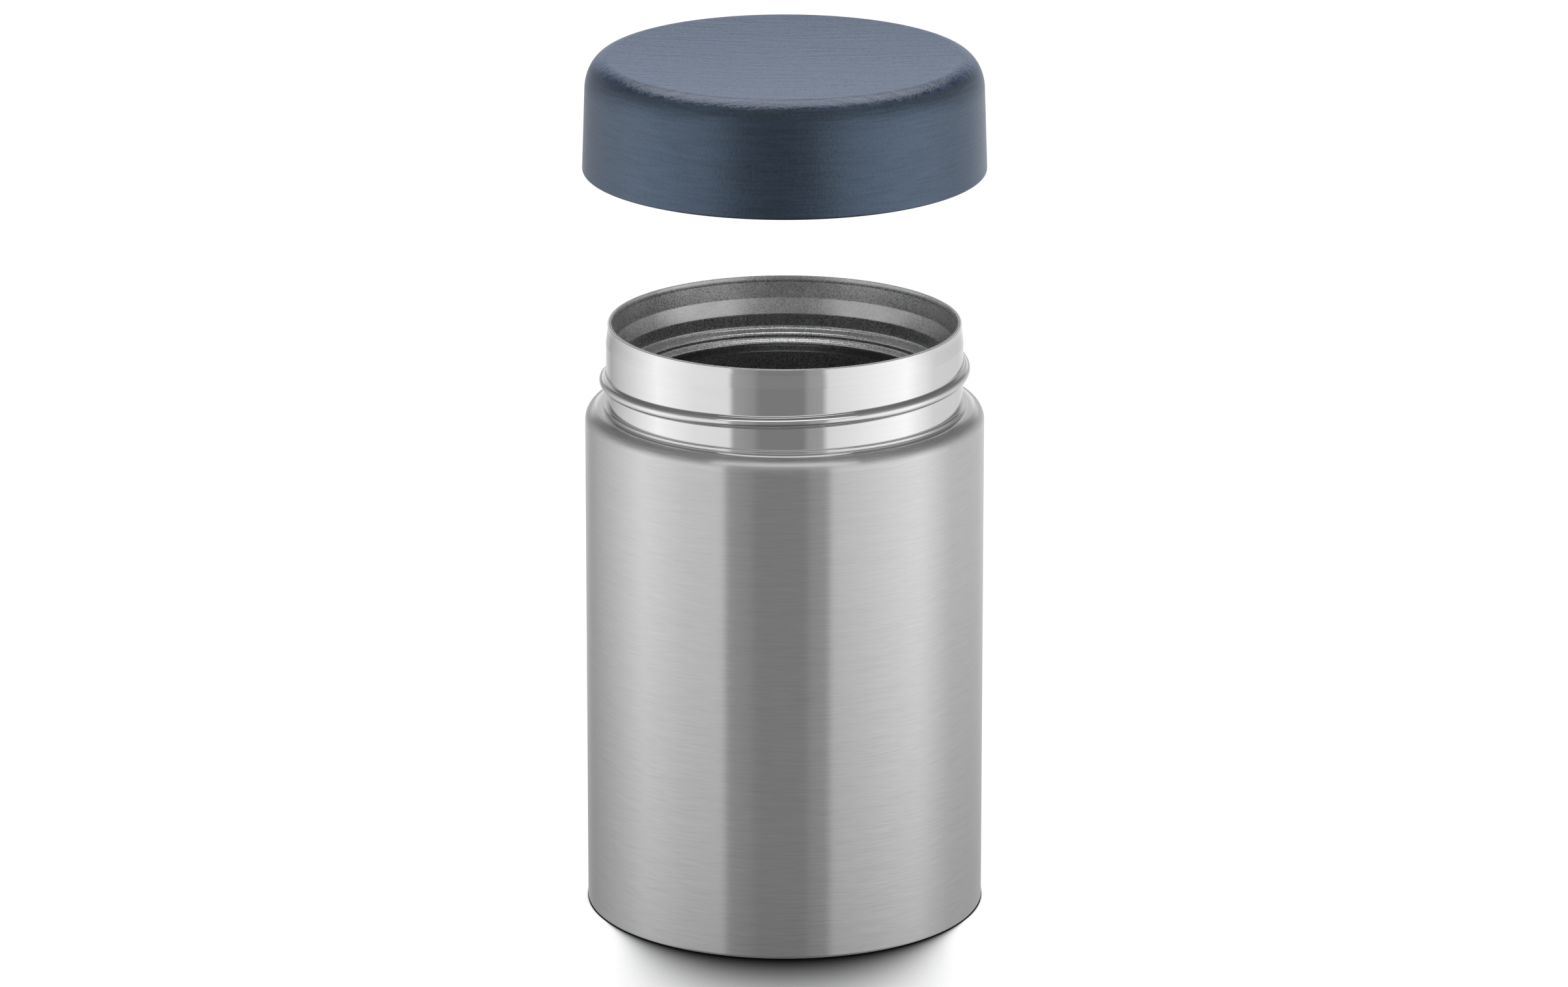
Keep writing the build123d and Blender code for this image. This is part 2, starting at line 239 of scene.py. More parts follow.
def mesh_object(name: str, points: np.ndarray, corners: np.ndarray, counts: np.ndarray,
                normals: np.ndarray) -> Object:
    """Makes a smooth-shaded mesh object at the origin.

    Args:
        name: Name of the object.
        points: Vertices in millimetres.
        corners: Vertex numbers of all faces, one after another.
        counts: Number of corners of each face.
        normals: Unit normal of each vertex.

    Returns:
        The linked object.
    """
    mesh = bpy.data.meshes.new(name)
    mesh.vertices.add(len(points))
    mesh.vertices.foreach_set("co", (points * MM).astype(np.float32).ravel())
    mesh.loops.add(len(corners))
    mesh.loops.foreach_set("vertex_index", corners.astype(np.int32))
    mesh.polygons.add(len(counts))
    starts = np.concatenate([[0], np.cumsum(counts)[:-1]])
    mesh.polygons.foreach_set("loop_start", starts.astype(np.int32))
    mesh.update(calc_edges=True)
    mesh.validate()
    mesh.shade_smooth()
    mesh.normals_split_custom_set_from_vertices(normals.tolist())
    made = bpy.data.objects.new(name, mesh)
    bpy.context.scene.collection.objects.link(made)
    return made


def turned(name: str, section: np.ndarray, thread: "Thread | None" = None, wall: float = 0.0,
           lift: float = 0.0) -> Object:
    """Turns a section about Z into a closed surface with outward faces.

    Vertex (i, j) is section point i at azimuth j. A thread's rows go into the longest straight
    run at the wall's radius, and follow the thread up. A section that starts and ends on the
    axis gets a pole vertex there, and any other is a loop. A normal is the cross product of the
    two central differences of the grid, so next to a bend the longer run decides it and a flat
    stays flat.

    Args:
        name: Name of the object.
        section: Points of (radius, height) in millimetres, either way round.
        thread: The thread on the wall, if there is one.
        wall: Radius of the wall that carries it.
        lift: Height that the whole piece is raised by.

    Returns:
        The object, unturned at the origin.
    """
    azimuth = np.arange(COLUMNS) * (2 * math.pi / COLUMNS)
    grid_r, grid_z = (np.repeat(values[:, None], COLUMNS, 1) for values in section.T)
    if thread is not None:
        run = longest_run(section, wall) + 1
        rise, level = thread.rows(azimuth)
        if section[run, 1] < section[run - 1, 1]:
            rise, level = rise[::-1], level[::-1]
        grid_r = np.concatenate([grid_r[:run], wall + rise, grid_r[run:]])
        grid_z = np.concatenate([grid_z[:run], level, grid_z[run:]])
    if section_area(section) < 0:
        grid_r, grid_z = grid_r[::-1], grid_z[::-1]
    grid = np.stack([grid_r * np.cos(azimuth), grid_r * np.sin(azimuth), grid_z + lift], 2)
    poled = grid_r[0, 0] < TINY
    round_step = np.roll(grid, -1, 1) - np.roll(grid, 1, 1)
    if poled:
        up_step = np.gradient(grid, axis=0) * 2
        bottom, top = grid[0, 0, 2], grid[-1, 0, 2]
        grid, round_step, up_step = grid[1:-1], round_step[1:-1], up_step[1:-1]
    else:
        up_step = np.roll(grid, -1, 0) - np.roll(grid, 1, 0)
    normals = np.cross(round_step, up_step)
    normals /= np.linalg.norm(normals, axis=2, keepdims=True)
    numbers = np.arange(grid.shape[0] * COLUMNS).reshape(-1, COLUMNS)
    low = numbers[:-1] if poled else numbers
    high = numbers[1:] if poled else np.roll(numbers, -1, 0)
    quads = np.stack([low, np.roll(low, -1, 1), np.roll(high, -1, 1), high], 2).reshape(-1, 4)
    points, normals = grid.reshape(-1, 3), normals.reshape(-1, 3)
    corners, counts = quads.ravel(), np.full(len(quads), 4)
    if poled:
        pole = len(points)
        first, last = numbers[0], numbers[-1]
        fans = np.concatenate([
            np.stack([np.full(COLUMNS, pole), np.roll(first, -1), first], 1),
            np.stack([np.full(COLUMNS, pole + 1), last, np.roll(last, -1)], 1),
        ])
        points = np.vstack([points, [0, 0, bottom], [0, 0, top]])
        normals = np.vstack([normals, [0, 0, -1], [0, 0, 1]])
        corners = np.concatenate([corners, fans.ravel()])
        counts = np.concatenate([counts, np.full(len(fans), 3)])
    return mesh_object(name, points, corners, counts, normals)


# ---------------------------------------------------------------- threads
@dataclass(frozen=True)
class Bead:
    """Section of a rolled bead: on each side a crest arc meets a root arc.

    crest_share is the crest's part of the two radii together.
    """

    proud: float
    half_height: float
    crest_share: float

    def rows(self, fade: np.ndarray) -> tuple[np.ndarray, np.ndarray]:
        """Rises out of the wall and distances from the centre line.

        Both radii together are (half² + proud²) / 2 proud, and both arcs bend away from the
        wall by arccos(1 - proud / both).

        Args:
            fade: Share of its full rise that the bead has at each azimuth.

        Returns:
            Two grids of (row, azimuth), from the bead's lower edge to its upper one.
        """
        high = np.maximum(self.proud * fade, FADED)
        both = (self.half_height**2 + high**2) / (2 * high)
        bend = np.arccos(1 - high / both) * np.linspace(0, 1, BEAD_ROWS)[:, None]
        crest, root = both * self.crest_share, both * (1 - self.crest_share)
        rise = np.concatenate([root * (1 - np.cos(bend)),
                               (high - crest * (1 - np.cos(bend)))[-2::-1]])
        below = np.concatenate([self.half_height - root * np.sin(bend),
                                (crest * np.sin(bend))[-2::-1]])
        return np.concatenate([rise, rise[-2::-1]]), np.concatenate([-below, below[-2::-1]])


@dataclass(frozen=True)
class Ridge:
    """Section of a moulded ridge towards the axis: a flat crest between two slopes."""

    proud: float
    crest_half: float
    root_half: float

    def rows(self, fade: np.ndarray) -> tuple[np.ndarray, np.ndarray]:
        """Rises out of the wall and distances from the centre line, the slopes straight.

        Args:
            fade: Share of its full rise that the ridge has at each azimuth.

        Returns:
            Two grids of (row, azimuth), from the ridge's lower edge to its upper one.
        """
        distance = np.linspace(-self.root_half, self.root_half, RIDGE_ROWS)[:, None]
        slope = (self.root_half - np.abs(distance)) / (self.root_half - self.crest_half)
        return -self.proud * np.clip(slope, 0, 1) * fade, distance + 0 * fade


@dataclass(frozen=True)
class Thread:
    """A thread of at most one turn that climbs anticlockwise and fades at both ends.

    Angles are degrees from +X; its centre line stands at middle_height at middle_angle.
    """

    lead: float
    start: float
    turn: float
    run_out: float
    middle_height: float
    middle_angle: float
    section: Bead | Ridge

    def rows(self, azimuth: np.ndarray) -> tuple[np.ndarray, np.ndarray]:
        """Rises out of the wall and heights of the thread's rows.

        The centre line stands at middle height + lead (angle - middle angle) / 360, and the
        rise eases in over the run-out as the square of a sine.

        Args:
            azimuth: Azimuths in radians.

        Returns:
            Two grids of (row, azimuth), from the lowest row up.
        """
        angle = self.start + np.mod(np.degrees(azimuth) - self.start, 360)
        inside = np.minimum(angle - self.start, self.start + self.turn - angle)
        fade = np.sin(np.pi / 2 * np.clip(inside / self.run_out, 0, 1)) ** 2
        rise, distance = self.section.rows(fade)
        return rise, distance + self.middle_height + self.lead * (angle - self.middle_angle) / 360


# ---------------------------------------------------------------- materials
def linear(tone: Tone) -> tuple[float, float, float, float]:
    """Turns an sRGB colour to linear light by the standard's curve.

    Args:
        tone: The colour.

    Returns:
        Linear red, green and blue, and a full alpha.
    """
    channels = [int(tone.value[i : i + 2], 16) / 255 for i in (1, 3, 5)]
    low = [c / 12.92 if c <= 0.04045 else ((c + 0.055) / 1.055) ** 2.4 for c in channels]
    return (*low, 1.0)


def wire(tree: NodeTree, node: Node, settings: Settings | None = None,
         links: Links | None = None) -> Node:
    """Gives a node its settings and links.

    Args:
        tree: The node's tree.
        node: The node.
        settings: Values of its properties, or of the inputs of that name or number.
        links: What to join to its inputs, by the input's name or number. A node stands for its
            first output.

    Returns:
        The node.
    """
    for key, value in (settings or {}).items():
        if isinstance(key, str) and hasattr(node, key):
            setattr(node, key, value)
        else:
            node.inputs[key].default_value = value
    for key, source in (links or {}).items():
        socket = source.outputs[0] if isinstance(source, Node) else source
        tree.links.new(socket, node.inputs[key])
    return node


def add(tree: NodeTree, kind: str, settings: Settings | None = None,
        links: Links | None = None) -> Node:
    """Adds a shader node of a kind to a tree, with settings and links as wire takes them."""
    return wire(tree, tree.nodes.new(f"ShaderNode{kind}"), settings, links)


def grain(tree: NodeTree, size: tuple[float, float, float], detail: float = 2.0,
          turn: float = 0.0) -> Node:
    """A pattern of noise that lies still on the object, with its own size along each axis.

    Args:
        tree: The material's tree.
        size: Length of one blob along X, Y and Z, in millimetres.
        detail: Octaves of finer noise.
        turn: Degrees that the pattern is turned about Z.

    Returns:
        The noise, whose value runs from about 0.3 to 0.7.
    """
    place = add(tree, "TexCoord")
    aligned = add(tree, "Mapping", {"Rotation": (0, 0, math.radians(turn))},
                  {"Vector": place.outputs["Object"]})
    sized = add(tree, "Mapping", {"Scale": tuple(1 / (s * MM) for s in size)}, {"Vector": aligned})
    return add(tree, "TexNoise", {"Scale": 1.0, "Detail": detail, "Roughness": 0.6},
               {"Vector": sized})


def ramp(tree: NodeTree, value: Source, stops: Stops, unit: float) -> Node:
    """A level that runs straight from stop to stop.

    Args:
        tree: The tree that it goes into.
        value: What the level depends on.
        stops: Places in rising order, with the level at each.
        unit: Size of one unit of the places in units of the value.

    Returns:
        The node that gives the level.
    """
    first, last = stops[0][0], stops[-1][0]
    peak = max(level for _, level in stops)
    share = add(tree, "MapRange", {"From Min": first * unit, "From Max": last * unit},
                {"Value": value})
    colours = add(tree, "ValToRGB", None, {0: share})
    elements = colours.color_ramp.elements
    while len(elements) < len(stops):
        elements.new(1.0)
    for element, (place, level) in zip(elements, stops):
        element.position = (place - first) / (last - first)
        element.color = (level / peak,) * 3 + (1.0,)
    return add(tree, "Math", {"operation": "MULTIPLY", 1: peak}, {0: colours})


def new_material(name: str) -> Material:
    """Makes a material with a node tree.

    Args:
        name: Name of the finish.

    Returns:
        The material.
    """
    material = bpy.data.materials.new(name)
    material.use_nodes = True
    return material


@dataclass(frozen=True)
class Skin:
    """What a grain does to a surface: its share of two tones, its roughness and its relief.

    low and high are the values of the grain between which all three change.
    """

    tones: tuple[Tone, Tone]
    roughness: tuple[float, float]
    relief: float  # height of the grain, in millimetres
    low: float = 0.3
    high: float = 0.7

    def lay(self, tree: NodeTree, value: Source, colour_value: Source | None = None) -> Node:
        """Joins the grain to the tree's Principled shader.

        Args:
            tree: The material's tree.
            value: The grain that sets roughness and relief.
            colour_value: The grain that sets the tone, where it is another one.

        Returns:
            The Principled shader.
        """
        share = add(tree, "MapRange", {"From Min": self.low, "From Max": self.high},
                    {"Value": colour_value or value})
        tone = add(tree, "Mix", {
            "data_type": "RGBA", COLOUR_A: linear(self.tones[0]), COLOUR_B: linear(self.tones[1])},
            {0: share})
        rough = add(tree, "MapRange", {
            "From Min": self.low, "From Max": self.high,
            "To Min": self.roughness[0], "To Max": self.roughness[1]}, {"Value": value})
        bump = add(tree, "Bump", {"Distance": self.relief * MM}, {"Height": value})
        return wire(tree, tree.nodes["Principled BSDF"], None, {
            "Base Color": tone.outputs[COLOUR_OUT], "Roughness": rough, "Normal": bump})


@dataclass(frozen=True)
class BrushedSteel:
    """Stainless steel brushed round the body with fine abrasive, then left bare.

    The hairlines run round, so they smear reflections up and down but keep their upright edges.
    Their torn edges scatter a little light all ways, which lifts the dark stripes.
    """

    streak: float = 5.0  # length of one hairline
    pitch: float = 0.17  # real hairlines stand 0.05 mm apart; drawn this coarse to show
    cloud: tuple[float, float, float] = (15.0, 15.0, 1.36)  # a patch that took the brush alike
    cloud_share: float = 0.2
    skin: Skin = Skin((Tone.STEEL_SHADE, Tone.STEEL_BRUSHED), (0.19, 0.25), 0.0012)
    anisotropy: float = 1.0
    mirror_share: float = 0.9

    def make(self) -> Material:
        """Builds the finish.

        Returns:
            Its material.
        """
        material = new_material("brushed_stainless_steel")
        tree = material.node_tree
        lines = grain(tree, (self.streak, self.streak, self.pitch), FINE_DETAIL)
        mixed = add(tree, "Mix", {0: self.cloud_share},
                    {FLOAT_A: lines, FLOAT_B: grain(tree, self.cloud)})
        tangent = add(tree, "Tangent", {"direction_type": "RADIAL", "axis": "Z"})
        wire(tree, self.skin.lay(tree, lines, mixed), {
            "Metallic": self.mirror_share, "Anisotropic": self.anisotropy,
            "Anisotropic Rotation": QUARTER_TURN}, {"Tangent": tangent})
        return material


@dataclass(frozen=True)
class PolishedSteel:
    """Stainless steel spun against a buffing wheel: a mirror with faint lines round the neck."""

    streak: float = 40.0
    pitch: float = 0.6  # real buffing lines are far finer; drawn this coarse to show
    skin: Skin = Skin((Tone.STEEL, Tone.STEEL_BUFFED), (0.045, 0.075), 0.0002)

    def make(self) -> Material:
        """Builds the finish.

        Returns:
            Its material.
        """
        material = new_material("polished_stainless_steel")
        tree = material.node_tree
        lines = grain(tree, (self.streak, self.streak, self.pitch))
        wire(tree, self.skin.lay(tree, lines), {"Metallic": 1.0})
        return material


@dataclass(frozen=True)
class BlastedSteel:
    """Stainless steel dulled by glass beads: soft grey highlights with a fine sparkle."""

    grit: float = 0.35  # real pits are 0.1 mm across; drawn this coarse to show
    patch: tuple[float, float, float] = (9.0, 9.0, 5.0)
    patch_share: float = 0.3
    skin: Skin = Skin((Tone.STEEL_DULL, Tone.STEEL_INSIDE), (0.24, 0.36), 0.012, 0.38, 0.62)
    mirror_share: float = 0.9  # the pits scatter the rest

    def make(self) -> Material:
        """Builds the finish.

        Returns:
            Its material.
        """
        material = new_material("bead_blasted_stainless_steel")
        tree = material.node_tree
        pits = grain(tree, (self.grit,) * 3)
        mixed = add(tree, "Mix", {0: self.patch_share},
                    {FLOAT_A: pits, FLOAT_B: grain(tree, self.patch)})
        wire(tree, self.skin.lay(tree, pits, mixed), {"Metallic": self.mirror_share})
        return material


@dataclass(frozen=True)
class MilledSheet:
    """Cold-rolled stainless sheet as it comes from the mill, pressed: dull, a little streaked."""

    roll_mark: tuple[float, float, float] = (26.0, 0.8, 0.8)
    skin: Skin = Skin((Tone.STEEL_INSIDE, Tone.STEEL_SHADE), (0.28, 0.4), 0.002)

    def make(self) -> Material:
        """Builds the finish.

        Returns:
            Its material.
        """
        material = new_material("pressed_stainless_sheet")
        tree = material.node_tree
        marks = grain(tree, self.roll_mark, FINE_DETAIL)
        wire(tree, self.skin.lay(tree, marks), {"Metallic": 1.0})
        return material


@dataclass(frozen=True)
class Lacquer:
    """Blue-grey metallic-effect lacquer over a brushed lid.

    Its flakes reflect like tinted metal, dark where the studio is dark, and its clear coat
    pales it at the edges.
    """

    brush: Brush
    streak: float = 9.0
    pitch: float = 0.6  # real brush lines are 0.1 mm apart; drawn this coarse to show
    straight_turn: float = 3.0  # degrees from X to the straight brushing
    speckle: float = 0.6  # real flakes are under 0.1 mm wide; drawn this coarse to show
    flake_share: float = 0.4
    skin: Skin = Skin((Tone.LACQUER_SHADE, Tone.LACQUER), (0.36, 0.46), 0.1, 0.36, 0.64)
    mirror_share: float = 0.95
    anisotropy: float = 0.5
    coat: float = 0.7
    coat_roughness: float = 0.34

    def make(self) -> Material:
        """Builds the finish.

        Returns:
            Its material.
        """
        material = new_material(f"metallic_effect_lacquer_{self.brush.name.lower()}")
        tree = material.node_tree
        if self.brush is Brush.ROUND:
            lines = grain(tree, (self.streak, self.streak, self.pitch), FINE_DETAIL)
        else:
            lines = grain(tree, (self.streak, self.pitch, self.pitch), FINE_DETAIL,
                          self.straight_turn)
        relief = add(tree, "Mix", {0: self.flake_share},
                     {FLOAT_A: lines, FLOAT_B: grain(tree, (self.speckle,) * 3)})
        paint = self.skin.lay(tree, relief)
        tangent = add(tree, "Tangent", {"direction_type": "RADIAL", "axis": self.brush.value})
        bumps = paint.inputs["Normal"].links[0].from_socket
        wire(tree, paint, {
            "Metallic": self.mirror_share, "Anisotropic": self.anisotropy,
            "Anisotropic Rotation": QUARTER_TURN, "Specular Tint": linear(Tone.LACQUER_EDGE),
            "Coat Weight": self.coat, "Coat Roughness": self.coat_roughness},
            {"Tangent": tangent, "Coat Normal": bumps})
        return material


@dataclass(frozen=True)
class Moulding:
    """A moulded or pressed material with one fine grain: plastic, rubber, foam, foil or glass."""

    name: str
    pebble: float  # width of one grain of its surface
    skin: Skin
    metallic: float = 0.0
    scatter: float = 0.0
    scatter_depth: float = 1.5
    cloud: float = 14.0  # width of one patch of its tone

    def make(self) -> Material:
        """Builds the finish.

        Returns:
            Its material.
        """
        material = new_material(self.name)
        tree = material.node_tree
        body = self.skin.lay(tree, grain(tree, (self.pebble,) * 3), grain(tree, (self.cloud,) * 3))
        wire(tree, body, {"Metallic": self.metallic, "Subsurface Weight": self.scatter,
                          "Subsurface Scale": self.scatter_depth * MM})
        return material


@dataclass(frozen=True)
class Finishes:
    """Every finish of the jar and its lid, made once."""

    brushed: Material = field(default_factory=BrushedSteel().make)
    polished: Material = field(default_factory=PolishedSteel().make)
    blasted: Material = field(default_factory=BlastedSteel().make)
    sheet: Material = field(default_factory=MilledSheet().make)
    lacquer_round: Material = field(default_factory=Lacquer(Brush.ROUND).make)
    # the top's lacquer: straight-brushed, in a tone painted lighter and bluer than the side's for
    # the light on the top
    lacquer_straight_painted_lighter: Material = field(default_factory=Lacquer(
        Brush.STRAIGHT, streak=14.0, pitch=1.5, anisotropy=0.0, coat=0.4, coat_roughness=0.25,
        skin=Skin((Tone.LACQUER_TOP_PAINTED_LIGHTER_SHADE, Tone.LACQUER_TOP_PAINTED_LIGHTER), (0.24, 0.34), 0.2, 0.38, 0.62),
    ).make)
    # polypropylene moulding: satin, with the fine spark grain of its mould
    liner: Material = field(default_factory=Moulding(
        "moulded_polypropylene", 0.3,
        Skin((Tone.MOULDING_SHADE, Tone.MOULDING), (0.34, 0.46), 0.01)).make)
    # moulded silicone rubber: milky and a little translucent
    silicone: Material = field(default_factory=Moulding(
        "moulded_silicone", 0.5,
        Skin((Tone.SILICONE_SHADE, Tone.SILICONE), (0.42, 0.55), 0.008), scatter=0.25).make)
    # closed-cell foam: chalky, with the cut cells of its skin
    foam: Material = field(default_factory=Moulding(
        "closed_cell_foam", 0.9,
        Skin((Tone.FOAM_SHADE, Tone.FOAM), (0.85, 0.98), 0.12)).make)
    # annealed foil: a crinkled mirror
    foil: Material = field(default_factory=Moulding(
        "annealed_foil", 6.0,
        Skin((Tone.FOIL_SHADE, Tone.FOIL), (0.14, 0.26), 0.1), metallic=1.0).make)
    # sintered getter metal: dark and granular
    getter: Material = field(default_factory=Moulding(
        "sintered_getter_metal", 0.25,
        Skin((Tone.GETTER_SHADE, Tone.GETTER), (0.6, 0.8), 0.03), metallic=1.0).make)
    # melted solder glass: dark and glossy, with a slow ripple
    glass: Material = field(default_factory=Moulding(
        "solder_glass", 1.6,
        Skin((Tone.SOLDER_SHADE, Tone.SOLDER_GLASS), (0.08, 0.16), 0.02)).make)


def zone(piece: Object, height: float) -> None:
    """Gives the faces above a height the piece's second material.

    Args:
        piece: The piece.
        height: The height, in millimetres.
    """
    centres = np.empty(len(piece.data.polygons) * 3, np.float32)
    piece.data.polygons.foreach_get("center", centres)
    above = centres.reshape(-1, 3)[:, 2] > height * MM
    piece.data.polygons.foreach_set("material_index", above.astype(np.int32))


def dress(piece: Object, node: str, body: Body, slot: str, *materials: Material) -> None:
    """Gives a piece its materials and its body, hides the CAD node that it stands for, and reports
    it.

    Args:
        piece: The piece.
        node: The CAD node that it stands for.
        body: The body that it rides on.
        slot: Its material slot in the record; not used.
        *materials: Its finishes, in the order of its zones.
    """
    for material in materials:
        piece.data.materials.append(material)
    piece.visible_glossy = body is Body.JAR  # the steel doesn't mirror the lid held over it
    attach(piece, body.value)
    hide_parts(node)
    LOG.info("%s: %d faces on %s", piece.name, len(piece.data.polygons), body.value)


def dress_nodes(materials: dict[str, Material]) -> None:
    """Gives CAD nodes that stay shown their materials, and reports them.

    Args:
        materials: The finish of each node, by the node's name.
    """
    for name, material in materials.items():
        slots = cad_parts[name].data.materials
        slots.clear()
        slots.append(material)
        LOG.info("%s: CAD node in %s", name, material.name)


# ---------------------------------------------------------------- the steel jar
@dataclass(frozen=True)
class SteelJar:
    """The jar's double wall: outer shell with its neck and thread, inner vessel and the bases."""

    finishes: Finishes

    body_radius: float = 42.5
    body_height: float = 110.5
    sheet: float = 0.4
    shoulder_rounding: float = 3.3
    foot_rounding: float = 0.6
    foot_inner_radius: float = 38.6
    neck_radius: float = 38.0
    collar_radius: float = 38.8
    collar_height: float = 111.1
    collar_rounding: float = 0.15
    taper_height: float = 124.3
    lip_height: float = 127.2
    lip_radius: float = 37.6
    rim_height: float = 128.4
    rim_rounding: float = 0.15
    soft_bend: float = 1.2
    polish_height: float = 110.2  # the buffed ring and neck start here

    vessel_radius: float = 34.6
    throat_radius: float = 36.35
    step_top: float = 123.7
    step_bottom: float = 120.4
    step_radius: float = 35.4
    seat_height: float = 117.2
    seat_inner_radius: float = 33.0
    seat_inner_height: float = 116.7
    seat_drop: float = 115.5
    lip_ring_radius: float = 31.9
    lip_ring_top: float = 115.0
    lip_ring_bottom: float = 114.3
    vessel_top: float = 112.2
    vessel_weld: float = 18.9
    seat_rounding: float = 0.8
    bend_rounding: float = 0.6
    mouth_rounding: float = 0.1
    floor_height: float = 9.4
    floor_corner: float = 8.0

    thread: Thread = Thread(5.1, 150.0, 360.0, 26.0, 118.05, 330.0, Bead(1.45, 1.55, 0.75))

    base_sheet: float = 0.5
    base_corner: float = 1.0
    skirt_height: float = 6.4
    recess_radius: float = 37.0
    recess_top_radius: float = 36.2
    recess_height: float = 3.2
    port_radius: float = 1.2
    cap_radius: float = 35.5
    cap_sheet: float = 0.4
    cap_height: float = 1.2

    def outer_shell(self) -> None:
        """The outer tube with shoulder, collar ring, neck and rolled thread."""
        s = self.sheet
        outside = [
            Corner(self.foot_inner_radius, 0),
            Corner(self.body_radius, 0, self.foot_rounding),
            Corner(self.body_radius, self.body_height, self.shoulder_rounding),
            Corner(self.collar_radius, self.body_height, self.collar_rounding),
            Corner(self.collar_radius, self.collar_height, self.collar_rounding),
            Corner(self.neck_radius, self.collar_height, self.collar_rounding),
            Corner(self.neck_radius, self.taper_height, self.soft_bend),
            Corner(self.lip_radius, self.lip_height, self.soft_bend),
            Corner(self.lip_radius, self.rim_height, self.rim_rounding),
        ]
        inside = [
            Corner(self.lip_radius - s, self.rim_height, 0),
            Corner(self.lip_radius - s, self.lip_height, self.soft_bend),
            Corner(self.neck_radius - s, self.taper_height, self.soft_bend),
            Corner(self.neck_radius - s, self.collar_height - s, self.collar_rounding + s),
            Corner(self.collar_radius - s, self.collar_height - s, 0),
            Corner(self.collar_radius - s, self.body_height - s, self.collar_rounding + s),
            Corner(self.body_radius - s, self.body_height - s, self.shoulder_rounding - s),
            Corner(self.body_radius - s, s, self.foot_rounding - s),
            Corner(self.foot_inner_radius, s),
        ]
        section = rounded(outside + inside)
        piece = turned("outer_shell_finish", section, self.thread, self.neck_radius)
        dress(piece, "outer_shell", Body.JAR, "brushed_steel", self.finishes.brushed,
              self.finishes.polished)
        zone(piece, self.polish_height)

    def inner_vessel(self) -> None:
        """The inner tube with its stepped mouth and the seat of the seal."""
        s = self.sheet
        face = [
            Corner(self.lip_radius - 2 * s, self.rim_height, self.mouth_rounding),
            Corner(self.lip_radius - 2 * s, self.lip_height, self.soft_bend),
            Corner(self.throat_radius, self.step_top, self.soft_bend),
            Corner(self.step_radius, self.step_bottom, self.soft_bend),
            Corner(self.step_radius, self.seat_height, self.seat_rounding),
            Corner(self.seat_inner_radius, self.seat_inner_height, self.bend_rounding),
            Corner(self.seat_inner_radius, self.seat_drop, self.bend_rounding),
            Corner(self.lip_ring_radius, self.lip_ring_top, self.bend_rounding),
            Corner(self.lip_ring_radius, self.lip_ring_bottom, self.bend_rounding),
            Corner(self.vessel_radius, self.vessel_top, self.seat_rounding),
            Corner(self.vessel_radius, self.vessel_weld, 0),
        ]
        piece = turned("inner_vessel_finish", pressed(face, s))
        dress(piece, "inner_vessel", Body.JAR, "satin_steel", self.finishes.blasted)

    def inner_base(self) -> None:
        """The dish that closes the inner vessel."""
        face = [
            Corner(0, self.floor_height, 0),
            Corner(self.vessel_radius, self.floor_height, self.floor_corner),
            Corner(self.vessel_radius, self.vessel_weld, 0),
        ]
        piece = turned("inner_base_finish", pressed(face, self.sheet, -1))
        dress(piece, "inner_base", Body.JAR, "satin_steel", self.finishes.blasted)

    def outer_base(self) -> None:
        """The pressed cup inside the foot, with its recessed middle and the vacuum port."""
        face = [
            Corner(self.body_radius - self.sheet, self.skirt_height, 0),
            Corner(self.body_radius - self.sheet, self.sheet, self.base_corner),
            Corner(self.recess_radius, self.sheet, self.bend_rounding),
            Corner(self.recess_top_radius, self.recess_height, self.bend_rounding),
            Corner(self.port_radius, self.recess_height, 0),
        ]
        piece = turned("outer_base_finish", pressed(face, self.base_sheet, -1))
        dress(piece, "outer_base", Body.JAR, "pressed_steel", self.finishes.sheet)

    def base_cap(self) -> None:
        """The stamped disc that hides the vacuum port."""
        face = [
            Corner(0, self.cap_height, 0),
            Corner(self.cap_radius, self.cap_height, self.bend_rounding + self.cap_sheet),
            Corner(self.cap_radius, self.recess_height, 0),
        ]
        piece = turned("base_cap_finish", pressed(face, self.cap_sheet))
        dress(piece, "base_cap", Body.JAR, "pressed_steel", self.finishes.sheet)

    def build(self) -> None:
        """Builds every visible piece of the jar, and dresses the hidden ones."""
        self.outer_shell()
        self.inner_vessel()
        self.inner_base()
        self.outer_base()
        self.base_cap()
        dress_nodes({"vacuum_seal": self.finishes.glass, "getter": self.finishes.getter,
                     "getter_clip": self.finishes.sheet, "radiation_foil": self.finishes.foil})


